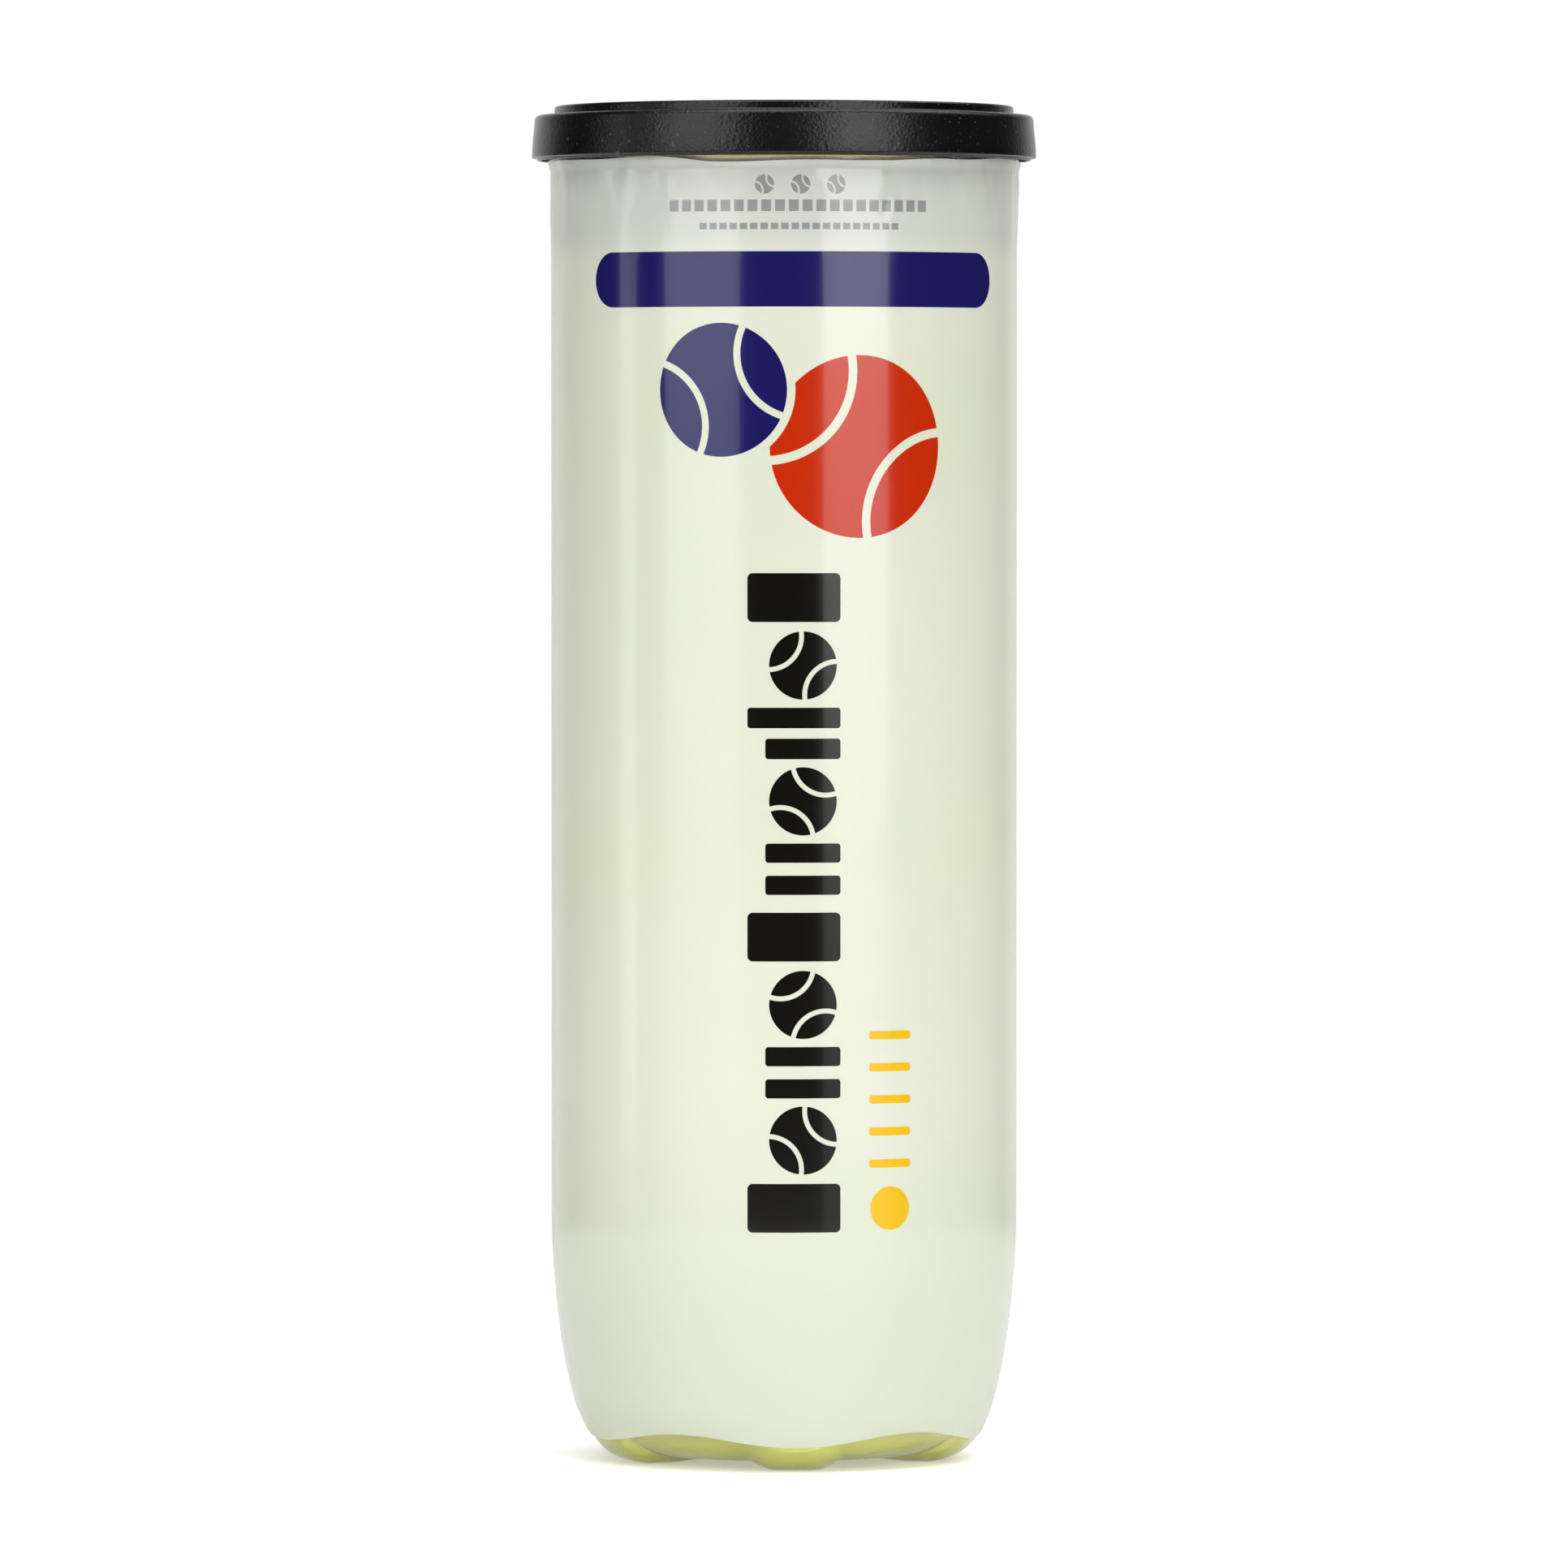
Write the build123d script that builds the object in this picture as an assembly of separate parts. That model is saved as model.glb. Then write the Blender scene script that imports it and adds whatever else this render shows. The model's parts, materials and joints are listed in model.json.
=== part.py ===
from build123d import *
import os
from math import acos, atan2, cos, degrees, radians, sin, sqrt

# Sealed can of three tennis balls. Millimetres and degrees, +Z up, origin on the floor under the axis,
# front (the middle of the label and one foot) towards -Y.

# Blown bottle and the film shrunk round it
BODY_R = 36.9            # outside of the film on the straight wall
FILM = 0.2               # film thickness
WALL = 0.6               # bottle wall
BOTTLE_R = BODY_R - FILM
SIDE_ARCS = ((150, 7.3), (87, 8.2), (22, 12.9), (8, 61.6))   # radius and turn, from the wall down to the pads
BOWL_ARCS = ((60, 8), (16, 60))                              # radius and turn, from the dish up the valleys
BOWL_FLAT_R = 14.0
NECK_FROM = 203.6        # start of the short flare into the seamed neck
NECK_FLARE = 1.6         # height of the flare
LAP = 1.0                # how far the neck and the film's collar run down over the straight wall
FILM_BOTTOM = 4.8
FILM_TOP = 204.6
FEET = 5
FOOT_WIDTH = 8.6         # across a foot's flat pad
FOOT_SPREAD = 1.04       # how far each flank of a foot widens per millimetre of height
FOOT_HEIGHT = 16.0
FOOT_FROM_R = 12.0       # where a foot starts, inside the dish
PAD_INNER_R = 20.5
PAD_STEP = 4.0           # width of the slope from a pad up into the dish
DISH = 0.35              # height of the dished centre above the floor
GATE_R = 2.4             # moulding gate under the centre
GATE_DROP = 0.2

# Metal end, double seamed onto the neck
SHEET = 0.24             # end metal
SEAM_R = 38.1            # outside of the double seam
SEAM_TOP = 211.0
SEAM_BOTTOM = 208.0
CHUCK_R = 36.6           # inside of the seam
NECK_WALL = 0.42         # bottle wall gripped by the seam
HOOK_WALL = 0.36         # bottle edge turned down inside the seam
HOOK_END = 0.5           # height of the turned edge's end over the seam's bottom
SEAM_TUCK = 1.0          # depth of the end's own edge below the seam's top
SEAM_ROUND = 0.22
COMPOUND = 0.26          # sealing compound over the bottle's edge
SINK_BOTTOM = 202.6      # underside of the countersink
SINK_OUTER_R = 36.0
SINK_INNER_R = 34.8
PANEL_TOP = 203.6
SCORE_R = 34.2           # the panel tears out along this circle
SCORE_GAP = 0.1
SCORE_CUT = (33.2, 0.1)  # radius and depth of the second, shallow score inside it
BEAD = (14.3, 17.7)      # radii of the walls of the sunk ring bead
STEP_R = 29.7            # the panel's raised middle
STEP_RISE = 0.3

# Pull tab and its rivet
TAB_BOTTOM = 204.2
TAB_THICK = 1.1
TAB_NOSE_Y = -33.5
TAB_NOSE_R = 7.0
TAB_HINGE_Y = -30.2
TAB_RING_Y = -9.0
TAB_RING_R = 11.0
TAB_HOLE_R = 7.6
RIVET_Y = -26.2
RIVET_SEAT_R = 2.7
RIVET_NECK_R = 1.5
RIVET_HEAD_R = 2.3
RIVET_HEAD = 0.45        # thickness of the rivet's head
TONGUE_WIDTH = 5.2
TONGUE_THICK = 0.3
TONGUE_LENGTH = 7.55
WINDOW_WIDTH = 6.4
WINDOW_LENGTH = 8.3
TAB_CURL = 0.3           # rounding of the tab's curled edges

# Push-on overcap
CAP_REST = 211.05        # underside of the cap's top, just over the seam
CAP_TOP = 212.3
CAP_SHOULDER = 212.55
CAP_RING_TOP = 214.0
CAP_RING_R = 36.3
CAP_RING_WALL = 1.4
CAP_TOP_R = 39.45        # outside of the skirt under the rounded shoulder
CAP_SKIRT_R = 39.9       # outside of the skirt at its lower edge
CAP_SKIRT_BOTTOM = 205.8
CAP_LIP_BOTTOM = 205.4
CAP_LIP = (0.4, 0.5)     # the lower lip's thickness at its edge and at the skirt
CAP_INNER_R = 38.6
CAP_BEAD_R = 38.3        # snap bead, which grips under the seam
CAP_BEAD_FROM = 206.6
CAP_BEAD_HEIGHT = 1.2
CAP_RING_ROUND = 0.5
CAP_SHOULDER_ROUND = 0.9

# Balls
BALL_R = 33.0
CORE_R = 30.0
CORE_WALL = 3.5
CEMENT = 0.3             # glue line between the two half shells
SEAM_RIB_R = 32.2        # top of the rubber seam, below the felt
SEAM_RIB_WIDTH = 1.8
SEAM_LEAN = 14.0         # how far the four lobes of the seam lean off the ball's equator
BALL_Z = (34.2, 100.5, 166.8)
BALL_TURN = ((62, 18, 24), (-35, 40, 110), (15, -52, 200))


def turned(outline):
    """Solid of revolution about Z of a closed outline given as (radius, height)."""
    return revolve(Plane.XZ * make_face(outline), Axis.Z)


def closed(curve):
    """The curve with its last point joined to its first by a straight line."""
    return curve + Line(curve @ 1, curve @ 0)


def arcs_from(point, heading, arcs):
    """Tangent arcs, each (radius, degrees turned), one after the other from a point."""
    path = []
    for radius, turn in arcs:
        path.append(JernArc(point, heading, radius, turn))
        point, heading = path[-1] @ 1, path[-1] % 1
    return path


def side_height():
    """Height at which the tapering base becomes the straight wall, so that the pads end on the floor."""
    angle, height = 0, 0
    for radius, turn in SIDE_ARCS:
        height += radius * (sin(radians(angle + turn)) - sin(radians(angle)))
        angle += turn
    return height


def envelope(inset):
    """The bottle's full round form, inset by a wall: straight side, tapering base, feet not yet cut free."""
    top, axis = (BOTTLE_R - inset, NECK_FROM), (0, NECK_FROM)
    start = (BOTTLE_R - inset, side_height())
    side = arcs_from(start, (0, -1), [(radius - inset, -turn) for radius, turn in SIDE_ARCS])
    base = Polyline(side[-1] @ 1, (PAD_INNER_R, inset), (PAD_INNER_R - PAD_STEP, DISH + inset),
                    (0, DISH + inset))
    return turned(closed(Polyline(axis, top, start) + side + base))


def bowl(inset):
    """The shallow bowl that is left between the feet, open upwards."""
    flat = Line((0, DISH + inset), (BOWL_FLAT_R, DISH + inset))
    curve = arcs_from(flat @ 1, (1, 0), [(radius - inset, turn) for radius, turn in BOWL_ARCS])
    rise = curve[-1] @ 1 + (curve[-1] % 1) * 30
    return turned(closed(flat + curve + Polyline(curve[-1] @ 1, rise, (rise.X, NECK_FROM), (0, NECK_FROM))))


def foot(inset):
    """One tapering foot towards -Y, to be trimmed by the envelope."""
    near, far = FOOT_FROM_R, BODY_R + 3
    thinner = 2 * inset * sqrt(1 + FOOT_SPREAD ** 2)
    sections = [
        Pos(0, -(near + far) / 2, z) * Rectangle(FOOT_WIDTH + 2 * FOOT_SPREAD * z - thinner, far - near)
        for z in (0, FOOT_HEIGHT)
    ]
    return loft(sections)


def blown_form(inset):
    """The bottle's form inset by a wall, with its feet."""
    form = bowl(inset)
    for k in range(FEET):
        form += Rot(Z=360 / FEET * k) * foot(inset)
    return envelope(inset) & form


def neck():
    """The bottle's mouth: a short flare, then the edge turned outward and down inside the seam."""
    inner = CHUCK_R + SHEET
    outer = inner + NECK_WALL
    hook_in = outer + SHEET
    hook_out = hook_in + HOOK_WALL
    edge_top = SEAM_TOP - SHEET - COMPOUND
    hook_low = SEAM_BOTTOM + HOOK_END
    lap, flared = NECK_FROM - LAP, NECK_FROM + NECK_FLARE
    return turned(closed(Polyline(
        (BOTTLE_R, lap), (BOTTLE_R, NECK_FROM), (outer, flared), (outer, edge_top - HOOK_WALL),
        (hook_in, edge_top - HOOK_WALL), (hook_in, hook_low), (hook_out, hook_low), (hook_out, edge_top),
        (inner, edge_top), (inner, flared + FILM), (BOTTLE_R - WALL, NECK_FROM), (BOTTLE_R - WALL, lap),
    )))


def canister():
    """Thin-walled blown bottle on five feet."""
    shell = blown_form(0) - blown_form(WALL)
    gate = Pos(0, 0, DISH - GATE_DROP) * Cylinder(
        GATE_R, GATE_DROP + WALL / 2, align=(Align.CENTER, Align.CENTER, Align.MIN))
    return shell + gate + neck()


def sleeve_label():
    """Printed film shrunk round the bottle, from the feet to the neck."""
    band = Pos(0, 0, FILM_BOTTOM) * Cylinder(
        BODY_R + 3, NECK_FROM - FILM_BOTTOM, align=(Align.CENTER, Align.CENTER, Align.MIN))
    outer = CHUCK_R + SHEET + NECK_WALL
    slope = (outer - BOTTLE_R) / NECK_FLARE * (FILM_TOP - NECK_FROM)
    lap = NECK_FROM - LAP
    collar = turned(closed(Polyline(
        (BOTTLE_R, lap), (BOTTLE_R, NECK_FROM), (BOTTLE_R + slope, FILM_TOP),
        (BODY_R + slope, FILM_TOP), (BODY_R, NECK_FROM), (BODY_R, lap),
    )))
    return ((envelope(-FILM) - envelope(0)) & band) + collar


def end_ring():
    """Seamed rim of the metal end: seam, chuck wall, countersink and the narrow shelf left by tearing."""
    inner = CHUCK_R + SHEET
    hook = inner + NECK_WALL
    outer = SEAM_R - SHEET
    tucked, shelf = SEAM_TOP - SEAM_TUCK, PANEL_TOP - SHEET
    wall_low, wall_high = NECK_FROM - 0.8 * SHEET, NECK_FROM + NECK_FLARE + 2 * FILM
    outline = make_face(closed(Polyline(
        (hook, tucked), (hook + SHEET, tucked), (hook + SHEET, SEAM_BOTTOM + SHEET),
        (outer, SEAM_BOTTOM + SHEET), (outer, SEAM_TOP - SHEET), (inner, SEAM_TOP - SHEET),
        (inner, wall_high), (SINK_OUTER_R, wall_low), (SINK_OUTER_R, SINK_BOTTOM),
        (SINK_INNER_R, SINK_BOTTOM), (SINK_INNER_R, shelf), (SCORE_R, shelf), (SCORE_R, PANEL_TOP),
        (SINK_INNER_R + SHEET, PANEL_TOP), (SINK_INNER_R + SHEET, SINK_BOTTOM + SHEET),
        (SINK_OUTER_R - SHEET, SINK_BOTTOM + SHEET), (SINK_OUTER_R - SHEET, wall_low + SHEET / 2),
        (CHUCK_R, wall_high + SHEET / 2), (CHUCK_R, SEAM_TOP), (SEAM_R, SEAM_TOP), (SEAM_R, SEAM_BOTTOM),
        (hook, SEAM_BOTTOM),
    )))
    rim = [v for v in outline.vertices() if v.X > SEAM_R - 0.01]
    return revolve(Plane.XZ * fillet(rim, SEAM_ROUND), Axis.Z)


def seam_compound():
    """Sealing ring under the seam's top."""
    top = SEAM_TOP - SHEET
    wide = Pos(0, 0, top) * Cylinder(SEAM_R - SHEET, COMPOUND, align=(Align.CENTER, Align.CENTER, Align.MAX))
    return wide - Pos(0, 0, top) * Cylinder(CHUCK_R + SHEET, 2 * COMPOUND)


def tear_panel():
    """Tear-out panel: scored edge, raised middle with a ring bead, and the rivet formed from the panel."""
    edge = SCORE_R - SCORE_GAP
    low, high = PANEL_TOP, PANEL_TOP + STEP_RISE
    cut_r, cut = SCORE_CUT
    top = [(0, high)]
    for radius, before, after in ((BEAD[0], high, low), (BEAD[1], low, high), (STEP_R, high, low)):
        top += [(radius - STEP_RISE, before), (radius + STEP_RISE, after)]
    under = [(r, z - SHEET) for r, z in reversed(top + [(edge, low)])]
    top += [(cut_r - 2 * cut, low), (cut_r, low - cut), (cut_r + 2 * cut, low), (edge, low)]
    sheet = turned(closed(Polyline(*top, *under)))
    head = TAB_BOTTOM + TONGUE_THICK
    stack = [
        (RIVET_SEAT_R, high - SHEET, TAB_BOTTOM),
        (RIVET_NECK_R, TAB_BOTTOM, head),
        (RIVET_HEAD_R, head, head + RIVET_HEAD),
    ]
    for radius, low_z, high_z in stack:
        sheet += Pos(0, RIVET_Y, low_z) * Cylinder(
            radius, high_z - low_z, align=(Align.CENTER, Align.CENTER, Align.MIN))
    return sheet


def tab_tongue():
    """The riveted tongue of the pull tab, which stays on the panel while the tab bends up."""
    front = TAB_HINGE_Y + 0.05
    flat = Pos(0, front + TONGUE_LENGTH / 2) * Rectangle(TONGUE_WIDTH, TONGUE_LENGTH)
    flat -= Pos(0, RIVET_Y) * Circle(RIVET_NECK_R)
    return extrude(Pos(0, 0, TAB_BOTTOM) * flat, TONGUE_THICK)


def pull_tab():
    """Finger ring, arms and nose, with a window round the riveted tongue."""
    ring = Pos(0, TAB_RING_Y) * Circle(TAB_RING_R)
    nose = Pos(0, TAB_NOSE_Y + TAB_NOSE_R) * Circle(TAB_NOSE_R)
    flat = make_hull((ring + nose).edges())
    flat -= Pos(0, TAB_RING_Y) * Circle(TAB_HOLE_R)
    front = TAB_HINGE_Y - 0.1
    flat -= Pos(0, front + WINDOW_LENGTH / 2) * Rectangle(WINDOW_WIDTH, WINDOW_LENGTH)
    tab = extrude(Pos(0, 0, TAB_BOTTOM) * flat, TAB_THICK)
    rims = tab.edges().filter_by(GeomType.CIRCLE)
    return fillet(rims, TAB_CURL)


def overcap():
    """Flexible push-on cap: top with a stacking ring, flared skirt, snap bead and lower inner lip."""
    ring_in = CAP_RING_R - CAP_RING_WALL
    ramp = CAP_INNER_R - CAP_BEAD_R
    bead_top = CAP_BEAD_FROM + CAP_BEAD_HEIGHT
    outline = make_face(closed(Polyline(
        (0, CAP_TOP), (ring_in, CAP_TOP), (ring_in, CAP_RING_TOP), (CAP_RING_R, CAP_RING_TOP),
        (CAP_RING_R, CAP_SHOULDER), (CAP_TOP_R, CAP_SHOULDER), (CAP_SKIRT_R, CAP_SKIRT_BOTTOM),
        (CAP_INNER_R + CAP_LIP[1], CAP_SKIRT_BOTTOM), (CAP_INNER_R + CAP_LIP[0], CAP_LIP_BOTTOM),
        (CAP_INNER_R, CAP_LIP_BOTTOM), (CAP_INNER_R, CAP_BEAD_FROM), (CAP_BEAD_R, CAP_BEAD_FROM + ramp),
        (CAP_BEAD_R, bead_top - ramp), (CAP_INNER_R, bead_top), (CAP_INNER_R, CAP_REST), (0, CAP_REST),
    )))
    rounds = {CAP_RING_TOP: CAP_RING_ROUND, CAP_SHOULDER: CAP_SHOULDER_ROUND}
    for height, radius in rounds.items():
        corners = [v for v in outline.vertices()
                   if abs(v.Y - height) < 0.01 and abs(v.X - CAP_RING_R) > (height == CAP_SHOULDER)]
        outline = fillet(corners, radius)
    return revolve(Plane.XZ * outline, Axis.Z)


def seam_ring():
    """Closed rib of a tennis ball's seam: four arcs about leaning lobe axes, tangent where they meet."""
    lean = radians(SEAM_LEAN)
    spread = acos(-sin(lean) ** 2) / 2
    half_turn = degrees(atan2(1, -sin(lean)))
    out, across = Vector(sin(spread), cos(spread)), Vector(cos(spread), -sin(spread))
    low, high, half = CORE_R - 1, BALL_R + 1, SEAM_RIB_WIDTH / 2
    corners = [out * low - across * half, out * high - across * half,
               out * high + across * half, out * low + across * half]
    section = Plane.XZ * make_face(Polyline(*corners, close=True))
    arc = revolve(Rot(Z=-half_turn) * section, Axis.Z, 2 * half_turn)
    ring = None
    for k in range(4):
        tilt = -lean if k % 2 == 0 else lean
        lobe = Vector(cos(tilt), 0, sin(tilt))
        away = Vector(sin(tilt), 0, -cos(tilt)) if k % 2 == 0 else Vector(-sin(tilt), 0, cos(tilt))
        piece = Rot(Z=90 * k) * Plane(origin=(0, 0, 0), x_dir=away, z_dir=lobe).location * arc
        ring = piece if ring is None else ring + piece
    return ring


def ball_pieces():
    """One ball about its own centre: two half shells, the glue between them, two felts and the seam."""
    core = Sphere(CORE_R) - Sphere(CORE_R - CORE_WALL)
    slab = Box(2 * BALL_R, 2 * BALL_R, CEMENT)
    halves = sorted((core - slab).solids(), key=lambda s: s.center().Z)
    ring = seam_ring()
    felts = sorted((Sphere(BALL_R) - Sphere(CORE_R) - ring).solids(), key=lambda s: s.center().Z)
    return {
        "core_lower": halves[0],
        "core_upper": halves[1],
        "core_cement": core & slab,
        "felt_lower": felts[0],
        "felt_upper": felts[1],
        "seam_rubber": ring & (Sphere(SEAM_RIB_R) - Sphere(CORE_R)),
    }


def parts():
    """Every node's name and shape."""
    found = {
        "canister": canister(),
        "sleeve_label": sleeve_label(),
        "end_ring": end_ring(),
        "seam_compound": seam_compound(),
        "tear_panel": tear_panel(),
        "tab_tongue": tab_tongue(),
        "pull_tab": pull_tab(),
        "overcap": overcap(),
    }
    ball = ball_pieces()
    for number, (height, turn) in enumerate(zip(BALL_Z, BALL_TURN), start=1):
        for name, piece in ball.items():
            found[f"ball_{number}_{name}"] = Pos(0, 0, height) * Rot(*turn) * piece
    return found


os.makedirs("parts", exist_ok=True)
for name, shape in parts().items():
    export_step(shape, f"parts/{name}.step")
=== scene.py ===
import json
from math import acos, atan2, cos, pi, radians, sin, sqrt, tan

import bpy
import numpy as np
from mathutils import Matrix, Vector, noise

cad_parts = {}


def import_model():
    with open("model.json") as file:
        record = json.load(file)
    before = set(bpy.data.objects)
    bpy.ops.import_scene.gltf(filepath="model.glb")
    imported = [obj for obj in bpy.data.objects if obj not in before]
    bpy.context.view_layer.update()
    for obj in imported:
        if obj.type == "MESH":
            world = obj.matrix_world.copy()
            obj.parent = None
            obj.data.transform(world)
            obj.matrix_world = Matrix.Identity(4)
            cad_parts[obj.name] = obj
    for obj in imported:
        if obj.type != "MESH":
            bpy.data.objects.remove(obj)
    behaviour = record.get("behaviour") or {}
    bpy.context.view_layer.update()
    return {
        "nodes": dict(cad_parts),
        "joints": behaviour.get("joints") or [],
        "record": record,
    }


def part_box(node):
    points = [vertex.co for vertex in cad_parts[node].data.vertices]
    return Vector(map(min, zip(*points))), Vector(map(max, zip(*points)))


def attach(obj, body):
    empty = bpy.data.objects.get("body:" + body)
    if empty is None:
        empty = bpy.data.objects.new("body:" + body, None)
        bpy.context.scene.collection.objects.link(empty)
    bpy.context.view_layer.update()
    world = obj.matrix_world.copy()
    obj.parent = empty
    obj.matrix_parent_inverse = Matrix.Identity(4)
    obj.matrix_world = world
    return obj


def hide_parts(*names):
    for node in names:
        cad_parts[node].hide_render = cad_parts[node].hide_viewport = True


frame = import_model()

RNG = np.random.default_rng(7)
MM = 0.001

# ---------------------------------------------------------------- sizes, in millimetres, from the frame

MOUNTS = {mount["name"]: mount for mount in frame["record"]["mounts"]}


def box_mm(node):
    """The low and high corners of a CAD node's box, in millimetres."""
    low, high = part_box(node)
    return low / MM, high / MM


BODY_R = MOUNTS["barrel"]["dims"]["r_mm"]  # outside of the film
FILM_LOW, FILM_HIGH = box_mm("sleeve_label")[0].z, box_mm("sleeve_label")[1].z
SEAM_R = box_mm("end_ring")[1].x  # outside of the metal double seam
SEAM_TOP = box_mm("end_ring")[1].z
SINK_BOTTOM = box_mm("end_ring")[0].z  # underside of the countersink
PANEL_R = box_mm("tear_panel")[1].x
PANEL_LOW = box_mm("tear_panel")[0].z
TAB_LOW, TAB_HIGH = box_mm("pull_tab")[0].z, box_mm("pull_tab")[1].z
TAB_FRONT, TAB_BACK = box_mm("pull_tab")[0].y, box_mm("pull_tab")[1].y
CAP_R = box_mm("overcap")[1].x
CAP_LOW, CAP_HIGH = box_mm("overcap")[0].z, box_mm("overcap")[1].z
HINGE_Y = next(j for j in frame["joints"] if j["name"] == "tab_lift")["pos_m"][1] / MM

FILM = 0.2  # film over the bottle
BOTTLE_R = BODY_R - FILM
WALL = 0.6
NECK_FROM = 203.6  # start of the flare into the seamed neck
NECK_R = 37.26  # outside of the bottle's mouth
MOUTH_R = 36.84  # inside of the bottle's mouth
FOLD_R, FOLD_OUTER_R = 37.5, 37.86  # the bottle's edge, turned down outside the mouth
SHEET = 0.24  # end metal
CHUCK_R = 36.6  # inside of the seam
SINK_INNER_R, SINK_OUTER_R = 34.8, 36.0  # walls of the countersink
SCORE_R = 34.2  # edge left round the torn-out panel
BASE_TOP = 20  # height above which the bottle is round
TAPER_FROM_R = 26  # the film lies only outside this radius
SIDE_ARCS = ((150, 7.3), (87, 8.2), (22, 12.9), (8, 61.6))  # radius and turn, from the wall to the pads
BOWL_ARCS = ((60, 8), (16, 60))  # radius and turn, from the dish up the valleys
BOWL_FLAT_R = 14.0
FEET = 5
FOOT_WIDTH = 9.6
FOOT_SPREAD = 1.04  # growth of a flank's width per millimetre of height
FOOT_ROUND = 2.4  # how far the foot's pad rolls up into its flanks
FOOT_FROM_R = 12  # where a foot starts, inside the dish
PAD_INNER_R = 20.5
PAD_STEP = 4  # width of the slope from a pad up into the dish
DISH = 0.35  # height of the dished centre over the table
GATE_DROP = 0.2  # the moulding gate under that centre
BALL_R = 33.0
CORE_R = 30.0
RIB_TOP_R = 32.1  # top of the rubber seam, below the felt
FELT_EDGE_R = 31.5  # where the felt rolls down to the rubber
FELT_INNER_R = CORE_R + 0.02
SEAM_LEAN = radians(14)
SEAM_SPREAD = acos(-sin(SEAM_LEAN) ** 2) / 2  # angular radius of the seam's four arcs
BALL_TURNS = ((62, 18, 24), (-35, 40, 110), (15, -52, 200))  # turns about X, Y and Z, in degrees
BALL_BODIES = ("bottom_ball", "middle_ball", "top_ball")
TABLE_R = 470.0

# The label's layout: places are (distance round the wall from the front, height)
BAND = (0, 186.2, 73.4, 8.6, 4.3)  # place, width, height and corner of the band
NAVY_BALL = (-12.5, 169.0, 10.4)  # place and radius
RED_BALL = (9.4, 160.2, 14.2)
COLUMN_U, COLUMN_LOW, COLUMN_PITCH = 0.4, 41.8, 10.55


# ---------------------------------------------------------------- node arithmetic

class Value:
    """A node socket that takes Python's arithmetic and adds the maths nodes to its own tree."""

    def __init__(self, tree, socket):
        self.tree, self.socket = tree, socket

    def maths(self, operation, *others):
        """The result of a maths node on this value and the others."""
        node = self.tree.nodes.new("ShaderNodeMath")
        node.operation = operation
        for slot, value in zip(node.inputs, (self, *others)):
            if isinstance(value, Value):
                self.tree.links.new(value.socket, slot)
            else:
                slot.default_value = value
        return Value(self.tree, node.outputs[0])

    def constant(self, number):
        """A fixed number in the same tree."""
        node = self.tree.nodes.new("ShaderNodeValue")
        node.outputs[0].default_value = number
        return Value(self.tree, node.outputs[0])

    def __add__(self, other):
        return self.maths("ADD", other)

    def __sub__(self, other):
        return self.maths("SUBTRACT", other)

    def __rsub__(self, other):
        return self.constant(other).maths("SUBTRACT", self)

    def __mul__(self, other):
        return self.maths("MULTIPLY", other)

    def __abs__(self):
        return self.maths("ABSOLUTE")

    def least(self, other):
        return self.maths("MINIMUM", other)

    def most(self, other):
        return self.maths("MAXIMUM", other)

    def fade(self, low, high):
        """0 below low, 1 above high, smooth between; the other way round when low is above high."""
        node = self.tree.nodes.new("ShaderNodeMapRange")
        node.interpolation_type = "SMOOTHSTEP"
        flip = low > high
        node.inputs["From Min"].default_value = min(low, high)
        node.inputs["From Max"].default_value = max(low, high)
        node.inputs["To Min"].default_value = 1 if flip else 0
        node.inputs["To Max"].default_value = 0 if flip else 1
        self.tree.links.new(self.socket, node.inputs["Value"])
        return Value(self.tree, node.outputs[0])


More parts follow.
